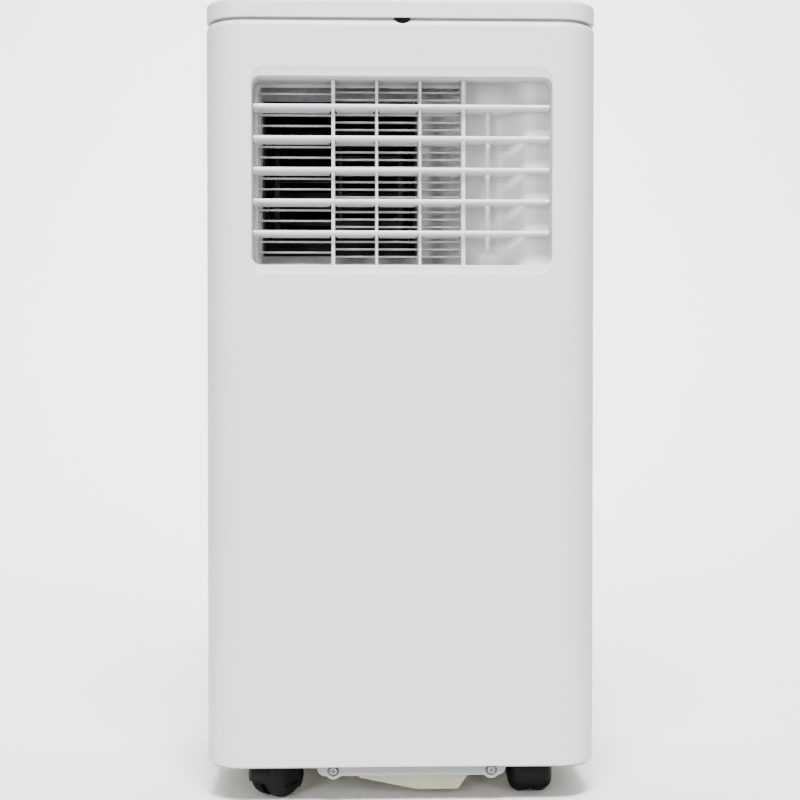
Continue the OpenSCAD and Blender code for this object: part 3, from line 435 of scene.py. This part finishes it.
def front_shell():
    bm = bmesh.new()
    reach = math.degrees(math.asin(LENS_EDGE / LENS_R))
    marks = [LENS_R * math.sin(math.radians(reach * i / 10)) for i in range(-10, 11)]
    (outside, inside), = shell_half(bm, -1, SEAM - 0.1, (440.0, 640.0), marks,
                                    [(ARC_STEPS, -ARC_STEPS - 1, 440.0, 640.0)])
    side, band, edge, slope = 0.6, 8.0, 0.9, 3.4
    middle = (RECESS_Z0 + RECESS_Z1) / 2

    def lip(grow_x, grow_z, r, depth, past=0.0):
        """Ring of the lip: its dip fades out down the sides."""
        half = (RECESS_Z1 - RECESS_Z0) / 2 + grow_z
        ring = []
        for u, v in rounded_ring(-RECESS_X - grow_x, middle - half, RECESS_X + grow_x, middle + half, r):
            t = min(1.0, max(0.0, (abs(v - middle) - half + 11) / 11))
            ring.append((u, face_y(u, -1, 0) + depth * t * t * (3 - 2 * t) + past, v))
        return ring

    rings, depth, steps = [], 0.0, 14
    for i in range(steps + 1):
        t = i / steps
        rings.append(lip(edge + side * (1 - t), edge + band * (1 - t), 8.4 + 6 * (1 - t), depth))
        depth += slope * min(1.0, (t + 0.5 / steps) / 0.2) * (1 - t) / steps
    for i in range(1, 6):
        a = math.radians(18 * i)
        grow = edge * (1 - math.sin(a))
        rings.append(lip(grow, grow, 7.5 + grow, depth, edge * (1 - math.cos(a))))
    taper = 0.3
    wall = rounded_ring(-RECESS_X + taper, RECESS_Z0 + taper, RECESS_X - taper, RECESS_Z1 - taper, 7.4)
    rings.append([(u, RECESS_BACK - 3, v) for u, v in wall])
    for i in range(1, 5):
        a = math.radians(90 * i / 4)
        t = taper + 3 * (1 - math.cos(a))
        turn = rounded_ring(-RECESS_X + t, RECESS_Z0 + t, RECESS_X - t, RECESS_Z1 - t, 7.4 - 0.75 * i)
        rings.append([(u, RECESS_BACK - 3 + 3 * math.sin(a), v) for u, v in turn])
    made = loft(bm, rings)
    mouth = rounded_ring(*MOUTH, 5.0, steps=6)
    throat = loft(bm, [[(u, RECESS_BACK, v) for u, v in mouth], [(u, RECESS_BACK + WALL, v) for u, v in mouth]])
    box = rounded_ring(-RECESS_X - WALL, RECESS_Z0 - WALL, RECESS_X + WALL, RECESS_Z1 + WALL, 10.0)
    back = loft(bm, [[(u, RECESS_BACK + WALL, v) for u, v in box], [(u, face_y(u, -1, WALL), v) for u, v in box]])
    fill_between(bm, (0, -1, 0), outside, made[0])
    fill_between(bm, (0, -1, 0), made[-1], throat[0])
    fill_between(bm, (0, 1, 0), throat[1], back[0])
    fill_between(bm, (0, 1, 0), back[1], inside)
    bmesh.ops.recalc_face_normals(bm, faces=bm.faces[:])
    return finish_piece(bm, "front_shell", "case", ["front_panel"], SHELL)


def recess_ramp():
    """Back of the recess's blind third: flat, then a ramp up to a shallower shelf on the right."""
    bm = bmesh.new()
    x0, x1, shelf = 84.0, 112.0, FRONT + 25
    outline = [(x0 + (x1 - x0) * i / 20, RECESS_BACK + (shelf - RECESS_BACK) * (1 - math.cos(math.pi * i / 20)) / 2)
               for i in range(21)]
    outline += [(RECESS_X + 0.6, shelf), (RECESS_X + 0.6, RECESS_BACK + 1.5), (x0, RECESS_BACK + 1.5)]
    rings = [[(x, y, z) for x, y in outline] for z in (RECESS_Z0 - 0.6, RECESS_Z1 + 0.6)]
    made = loft(bm, rings)
    bm.faces.new(made[0])
    bm.faces.new(made[1])
    bmesh.ops.recalc_face_normals(bm, faces=bm.faces[:])
    return finish_piece(bm, "recess_ramp", "case", ["front_panel"], SHELL)


def skirt_tab():
    """Strip with two ears below the front skirt, which the lower screws hold."""
    bm = bmesh.new()
    centre = TAB_LOW + TAB_CORNER
    a = math.degrees(math.asin((EAR_Z - TAB_LOW) / EAR_R))
    outline = [(TAB_X0, TAB_TOP)] + arc(TAB_X0 + TAB_CORNER, centre, TAB_CORNER, 180, 270, 8)
    for cx in EARS:
        outline += arc(cx, EAR_Z, EAR_R, 180 + a, 360 - a, 18)
    outline += arc(TAB_X1 - TAB_CORNER, centre, TAB_CORNER, 276, 360, 8) + [(TAB_X1, TAB_TOP)]
    made = loft(bm, [[(x, y, z) for x, z in outline] for y in (TAB_FACE, TAB_BACK)])
    cups = [loft(bm, [[(x, y, z) for x, z in circle(cx, EAR_Z, CUP_R, 24)] for y in (TAB_FACE, TAB_CUP)])
            for cx in EARS]
    fill_between(bm, (0, -1, 0), made[0], *(cup[0] for cup in cups))
    for ring in (made[1], cups[0][1], cups[1][1]):
        bm.faces.new(ring)
    bmesh.ops.recalc_face_normals(bm, faces=bm.faces[:])
    # Painted shade: the tab's darkened colour stands in for the shade under the skirt.
    return finish_piece(bm, "skirt_tab", "case", ["front_panel"], TAB_PAINTED_SHADE, bevel=0.35)


def circle(cx, cz, r, steps):
    return [(cx + r * math.cos(2 * math.pi * i / steps), cz + r * math.sin(2 * math.pi * i / steps))
            for i in range(steps)]


def follow(ring):
    """Adds points where a ring crosses the start of the case's corners."""
    points = []
    for (u, v), (u1, v1) in zip(ring, ring[1:] + ring[:1]):
        points.append((u, v))
        cuts = [c for c in (-132.7, -130.3, -128.0, 128.0, 130.3, 132.7) if min(u, u1) + 0.2 < c < max(u, u1) - 0.2]
        points += [(c, v + (v1 - v) * (c - u) / (u1 - u)) for c in sorted(cuts, reverse=u > u1)]
    return points


# Rounded edge of a hole in the wall, as (growth, depth) pairs, and the cup for a screw's head.
HOLE = [(0.5, 0.0), (0.25, 0.07), (0.07, 0.25), (0.0, 0.5), (0.0, WALL)]
CUP = HOLE[:4] + [(0.0, 2.6), (-2.4, 2.6), (-2.4, 5.0), (2.2, 5.0), (2.2, WALL)]


def rear_shell():
    bm = bmesh.new()
    reach = 4
    (outside, inside), *grips = shell_half(
        bm, 1, SEAM + 0.3, (350.0, 560.0, 624.0), (),
        [(ARC_STEPS + 1 - reach, -ARC_STEPS - 2 + reach, SKIRT_Z, ROLL_START), (0, 1, 560.0, 624.0),
         (-2, -1, 560.0, 624.0)])
    holes = []

    def hole(outline, profile=HOLE):
        holes.append(loft(bm, [[(u, face_y(u, 1, depth), v) for u, v in outline(grow)] for grow, depth in profile]))

    def window(x0, z0, x1, z1, r, steps=8):
        hole(lambda grow: follow(rounded_ring(x0 - grow, z0 - grow, x1 + grow, z1 + grow, r + grow, steps)))

    window(*FILTER)
    window(*INTAKE)
    for (x, z, r), steps in ((EXHAUST, 96), (GLAND, 32), (DRAIN, 36), (PLUG, 40)):
        hole(lambda grow: circle(x, z, r + grow, steps))
    for x in (-SLOT_X, SLOT_X):
        for i in range(SLOT_ROWS):
            z = SLOT_Z + SLOT_PITCH * i
            window(x - SLOT_W / 2, z - SLOT_H / 2, x + SLOT_W / 2, z + SLOT_H / 2, SLOT_R, 4)
    for x, z in REAR_SCREWS:
        hole(lambda grow: circle(x, z, 4.3 + grow, 24), CUP)
    fill_between(bm, (0, 1, 0), outside, *(made[0] for made in holes))
    fill_between(bm, (0, -1, 0), inside, *(made[-1] for made in holes))
    y0, z0, y1, z1, r = GRIP
    for s, (outside, inside) in zip((-1, 1), grips):
        made = loft(bm, [[(s * (HALF_W - depth), u, v) for u, v in
                          rounded_ring(y0 - grow, z0 - grow, y1 + grow, z1 + grow, r + grow)]
                         for grow, depth in HOLE])
        fill_between(bm, (s, 0, 0), outside, made[0])
        fill_between(bm, (-s, 0, 0), inside, made[-1])
    bmesh.ops.recalc_face_normals(bm, faces=bm.faces[:])
    return finish_piece(bm, "rear_shell", "case", ["rear_panel"], SHELL)


def screws():
    """Cross-headed screws, seated in the tab's ears and in the cups of the rear shell."""
    bm = bmesh.new()
    seats = [(x, TAB_CUP, EAR_Z, 1, 0.8) for x in EARS] + [(x, BACK - 2.6, z, -1, 0.0) for x, z in REAR_SCREWS]
    for cx, seat, cz, sign, collar in seats:
        def ring(points, height):
            return [(cx + u, seat - sign * height, cz + v) for u, v in points]

        profile = [(1.7, -9.0), (1.7, 0.0), (3.8, 0.0), (3.8, collar + 0.6), (3.65, collar + 1.3),
                   (3.3, collar + 1.9), (2.8, collar + 2.25), (2.3, collar + 2.4)]
        made = loft(bm, [ring(circle(0, 0, r, 32), h) for r, h in profile])
        bm.faces.new(made[0])

        def cross(scale):
            a, b = 1.95 * scale, 0.5 * scale
            quarter = [(a, -b), (a, b), (b, b)]
            return [(u * c - v * d, u * d + v * c) for c, d in ((1, 0), (0, 1), (-1, 0), (0, -1)) for u, v in quarter]

        top = collar + 2.4
        recess = loft(bm, [ring(cross(1.0), top), ring(cross(0.9), top - 0.9), ring(cross(0.45), top - 1.9)])
        fill_between(bm, (0, -sign, 0), made[-1], recess[0])
        bm.faces.new(recess[-1])
    bmesh.ops.recalc_face_normals(bm, faces=bm.faces[:])
    return finish_piece(bm, "screws", "case", ["case_screws"], ZINC, sharp=35)


def lens():
    """The receiver's dark window, flush with the front and cut off level under the cover."""
    bm = bmesh.new()
    start = math.degrees(math.asin((COVER_Z - 0.2 - LENS_Z) / 7.8))

    def outline(shrink):
        return [(u * (7.8 - shrink) / 7.8, v + shrink * (COVER_Z - 0.2 - v) / 7.8)
                for u, v in arc(0, LENS_Z, 7.8, 180 - start, 360 + start, 30)]

    rings = [[(u, FRONT + y, v) for u, v in outline(shrink)]
             for shrink, y in ((0.9, 0.35), (0.45, 0.42), (0.15, 0.6), (0.0, 0.9), (0.0, 5.8))]
    made = loft(bm, rings)
    bm.faces.new(made[0])
    bm.faces.new(made[-1])
    bmesh.ops.recalc_face_normals(bm, faces=bm.faces[:])
    return finish_piece(bm, "lens", "case", ["remote_receiver"], GLOSS, sharp=50)


def cover_shell():
    bm = bmesh.new()
    half_w, half_d = HALF_W, abs(FRONT)

    def at(inset, z):
        flat = rounded_ring(-half_w + inset, -half_d + inset, half_w - inset, half_d - inset, CORNER - inset, 24)
        return [(u, v, z) for u, v in flat]

    roll = 3.2
    levels = [(roll * (1 - math.cos(math.radians(11.25 * i))), TOP - roll + roll * math.sin(math.radians(11.25 * i)))
              for i in range(8, -1, -1)]
    levels += [(0.0, COVER_Z + 0.9), (0.12, COVER_Z + 0.4), (0.5, COVER_Z), (SKIRT_IN, COVER_Z),
               (SKIRT_IN, COVER_Z - SKIRT_DEEP), (SKIRT_IN + SKIRT_WALL, COVER_Z - SKIRT_DEEP),
               (SKIRT_IN + SKIRT_WALL, TOP - 3)]
    made = loft(bm, [at(d, z) for d, z in levels])
    w, d, r = FASCIA
    pocket = []
    for grow, z in ((0.8, TOP), (0.25, TOP - 0.25), (0.0, TOP - 0.8), (0.0, TOP - 3)):
        flat = rounded_ring(-w / 2 - grow, FASCIA_Y - d / 2 - grow, w / 2 + grow, FASCIA_Y + d / 2 + grow, r + grow)
        pocket.append([(u, v, z) for u, v in flat])
    hole = loft(bm, pocket)
    fill_between(bm, (0, 0, 1), made[0], hole[0])
    fill_between(bm, (0, 0, -1), made[-1], hole[-1])
    bmesh.ops.recalc_face_normals(bm, faces=bm.faces[:])
    return finish_piece(bm, "cover_shell", "case", ["top_cover"], SHELL, sharp=35)


# ---------------------------------------------------------------- louvres


def louvre(k):
    """A thin vane with a rounded nose, notched round the grille's ribs, and its pivots and link pin."""
    bm = bmesh.new()
    half = RECESS_X - 0.8
    nose_r, nose_y, reach = 1.95, -7.05, 15.0

    marks = [(-half, reach)]
    for x, w in RIBS:
        wide, near = w / 2 + 1.6, w / 2 + 0.6
        for s in (-1, 1):
            marks += [(x + s * wide, reach), (x + s * (wide - 0.02), 6.6), (x + s * (near + 0.02), 5.4),
                      (x + s * near, -5.6)]
    for s in (-1, 1):
        marks += [(LINK_X + s * 4.4, reach), (LINK_X + s * 4.38, 6.6), (LINK_X + s * 3.2, 5.4)]
    marks += [(84.0, reach), (86.0, reach - 1), (88.5, 12.0), (92.0, 9.4), (96.0, 6.7), (100.0, 4.8), (106.0, 4.0),
              (half, 3.2)]
    marks.sort(key=lambda m: m[0])

    def section(tail):
        """Outline in Y and Z about the pivot: a round nose, and a tail that thins towards its edge."""
        def half_height(y, at_two, at_end):
            if y < 2:
                return nose_r + (at_two - nose_r) * (y - nose_y) / (2 - nose_y)
            return at_two + (at_end - at_two) * (y - 2) / (reach - 2)

        stations = [nose_y + (tail - 0.35 - nose_y) * f for f in (0.3, 0.6, 0.85, 1.0)]
        points = arc(nose_y, 0, nose_r, 90, 270, 14)
        points += [(y, -half_height(y, 1.7, 0.8)) for y in stations]
        points += [(tail, 0.35 - half_height(tail, 1.7, 0.8)), (tail, half_height(tail, 1.9, 0.8) - 0.35)]
        points += [(y, half_height(y, 1.9, 0.8)) for y in reversed(stations)]
        return points

    rings = [[(x, u, v) for u, v in section(t)] for x, t in marks]
    made = loft(bm, rings)
    bm.faces.new(made[0])
    bm.faces.new(made[-1])
    bmesh.ops.rotate(bm, verts=bm.verts[:], cent=(0, 0, 0), matrix=Matrix.Rotation(math.radians(-6), 3, "X"))
    for s in (-1, 1):
        turn = Matrix.Rotation(math.radians(90 * s), 4, "Y")
        lathe(bm, [(2.4, half - 4.2), (2.7, half - 3.9), (2.7, half - 0.2), (2.5, half), (1.8, half),
                   (1.8, half + 2.9), (1.5, half + 3.2)], turn, 24)
    lathe(bm, [(1.5, LINK_X - 5.4), (1.5, LINK_X + 5.4)], Matrix.Translation((0, 12, 0)) @
          Matrix.Rotation(math.radians(90), 4, "Y"), 16)
    bmesh.ops.translate(bm, verts=bm.verts[:], vec=(0, PIVOT_Y, LOUVRE_Z[k - 1]))
    bmesh.ops.recalc_face_normals(bm, faces=bm.faces[:])
    name = f"louvre_{k}"
    return finish_piece(bm, f"vane_{k}", name, [name], SHELL, sharp=40)


# ---------------------------------------------------------------- marks on the keys


def band(r0, r1, start, end, steps=24):
    """Outline of part of a ring."""
    return arc(0, 0, r1, start, end, steps) + arc(0, 0, r0, end, start, steps)


def bar(u0, v0, u1, v1):
    return [(u0, v0), (u1, v0), (u1, v1), (u0, v1)]


def turned(outline, angle):
    c, s = math.cos(math.radians(angle)), math.sin(math.radians(angle))
    return [(u * c - v * s, u * s + v * c) for u, v in outline]


MARKS = {
    "power": [band(2.1, 2.7, 125, 415), bar(-0.3, 0.6, 0.3, 3.1)],
    "mode": [turned(bar(-0.3, 1.5, 0.3, 2.9), 60 * i) for i in range(6)] + [circle(0, 0, 0.95, 20)],
    "fan": [turned([(0.1, 0.55), (1.25, 1.0), (1.35, 2.2), (0.3, 2.9), (-0.35, 1.6)], 120 * i) for i in range(3)],
    "down": [[(-2.3, 1.2), (0, -1.9), (2.3, 1.2)]],
    "up": [[(-2.3, -1.2), (2.3, -1.2), (0, 1.9)]],
    "timer": [band(2.3, 2.85, 0, 359), bar(-0.25, -0.25, 0.25, 1.8), bar(0.3, -0.25, 1.4, 0.25)],
    "sleep": [arc(0, 0, 2.7, 60, 300, 28) + arc(1.6, 0, 2.35, 264, 96, 24)],
}


def key_mark(name):
    """A thin printed sign on top of a key."""
    low, high = node_box("button_" + name)
    bm = bmesh.new()
    for outline in MARKS[name]:
        rings = [[((low.x + high.x) / 2 + u, (low.y + high.y) / 2 + v, high.z + z) for u, v in outline]
                 for z in (-0.05, 0.04)]
        made = loft(bm, rings)
        bm.faces.new(made[0])
        bm.faces.new(made[1])
    bmesh.ops.recalc_face_normals(bm, faces=bm.faces[:])
    return finish_piece(bm, "mark_" + name, "button_" + name, [], PRINT)


# ---------------------------------------------------------------- build

front_shell()
recess_ramp()
skirt_tab()
rear_shell()
cover_shell()
screws()
lens()
for k in range(1, 6):
    louvre(k)
for name in MARKS:
    key_mark(name)

EDGES = {
    "base_pan": 0.8, "side_handles": 0.9, "outlet_grille": 0.25, "control_fascia": 0.35, "display_window": 0.2,
    "lower_intake_grille": 0.35, "exhaust_collar": 0.6, "cord_gland": 0.4, "upper_filter_frame": 0.35,
    "drain_cap": 0.5, "drain_plug": 0.5, "louvre_link": 0.35,
}
for name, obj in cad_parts.items():
    if obj.hide_render:
        continue
    obj.data.materials.clear()
    obj.data.materials.append(look_of(name))
    width = EDGES.get(name, 0.9 if name.startswith("castor_fork") else 0.3 if name.startswith("button") else 0)
    if width:
        weld = obj.modifiers.new("weld", "WELD")
        weld.merge_threshold = 0.00001
        round_edges(obj, width)
        weigh = obj.modifiers.new("normals", "WEIGHTED_NORMAL")
        weigh.keep_sharp = True


# ---------------------------------------------------------------- studio


def area(name, location, target, size, power, spread=180):
    lamp = bpy.data.lights.new(name, "AREA")
    lamp.shape = "RECTANGLE"
    lamp.size, lamp.size_y = size
    lamp.energy = power
    lamp.spread = math.radians(spread)
    obj = bpy.data.objects.new(name, lamp)
    obj.location = location
    obj.rotation_euler = (Vector(target) - Vector(location)).to_track_quat("-Z", "Y").to_euler()
    bpy.context.scene.collection.objects.link(obj)
    return obj


def studio_world(side, front, up, back):
    """A surround that is dark at the sides, mid in front and above, and bright low down behind the object."""
    world = bpy.data.worlds.new("studio")
    bpy.context.scene.world = world
    world.use_nodes = True
    tree = world.node_tree
    background = tree.nodes["Background"]
    background.inputs["Color"].default_value = (1, 1, 1, 1)
    coords = node(tree, "ShaderNodeTexCoord")
    split = node(tree, "ShaderNodeSeparateXYZ")
    tree.links.new(coords.outputs["Generated"], split.inputs["Vector"])

    def maths(kind, a, b=None):
        made = tree.nodes.new("ShaderNodeMath")
        made.operation = kind
        for slot, value in enumerate((a, b)):
            if value is None:
                continue
            if isinstance(value, (int, float)):
                made.inputs[slot].default_value = value
            else:
                tree.links.new(value, made.inputs[slot])
        return made.outputs["Value"]

    x, y, z = (split.outputs[axis] for axis in "XYZ")
    ahead = maths("POWER", maths("MAXIMUM", maths("MULTIPLY", y, -1), 0), 1.5)
    behind = maths("POWER", maths("MAXIMUM", y, 0), 6)
    above = maths("POWER", maths("MAXIMUM", z, 0), 2)
    level = maths("ADD", maths("MULTIPLY", ahead, front - side), maths("MULTIPLY", behind, back - side))
    level = maths("ADD", maths("ADD", level, maths("MULTIPLY", above, up - side)), side)
    tree.links.new(level, background.inputs["Strength"])


studio_world(side=0.22, front=0.50, up=0.35, back=0.5)

# Floor that curves up into a wall behind the object.
bm = bmesh.new()
sweep = [(-7.0, 0.0), (-1.0, 0.0), (1.4, 0.0)] + [
    (1.4 + 1.6 * math.sin(math.radians(6 * i)), 1.6 * (1 - math.cos(math.radians(6 * i)))) for i in range(1, 16)]
sweep.append((3.0, 6.0))
loft(bm, [[(x, y, z) for y, z in sweep] for x in (-4.0, -1.5, 1.5, 4.0)], close=False)
floor_mesh = bpy.data.meshes.new("floor")
bm.to_mesh(floor_mesh)
bm.free()
floor_mesh.shade_smooth()
floor = bpy.data.objects.new("floor", floor_mesh)
bpy.context.scene.collection.objects.link(floor)
floor_mesh.materials.append(surface("floor_white", (0.80, 0.80, 0.80), 0.8, vary=0.004, bump=0.02))

area("left_box", (-1.25, -2.6, 0.9), (0, 0, 0.35), (0.7, 1.2), 8, 70)
area("right_box", (1.25, -2.6, 0.9), (0, 0, 0.35), (0.6, 1.2), 5, 70)
area("front_top", (0.0, -1.8, 3.0), (0, 0, 0.40), (1.2, 0.7), 66, 80)
area("backdrop", (0.0, 1.3, 3.4), (0, 3.0, 0.4), (4.0, 1.4), 300, 130)

camera = bpy.data.cameras.new("camera")
camera.sensor_width = 36
camera.lens = 74.06
camera.shift_x = -0.003
view = bpy.data.objects.new("camera", camera)
yaw = math.radians(-2.0)
pitch = math.radians(1.2)
distance = 1.400
face = Vector((0.0, FRONT * MM, 0.0))
view.location = (distance * math.sin(yaw), face.y - distance * math.cos(yaw), 0.3753)
view.rotation_euler = (math.radians(90) - pitch, 0, yaw)
bpy.context.scene.collection.objects.link(view)
bpy.context.scene.camera = view
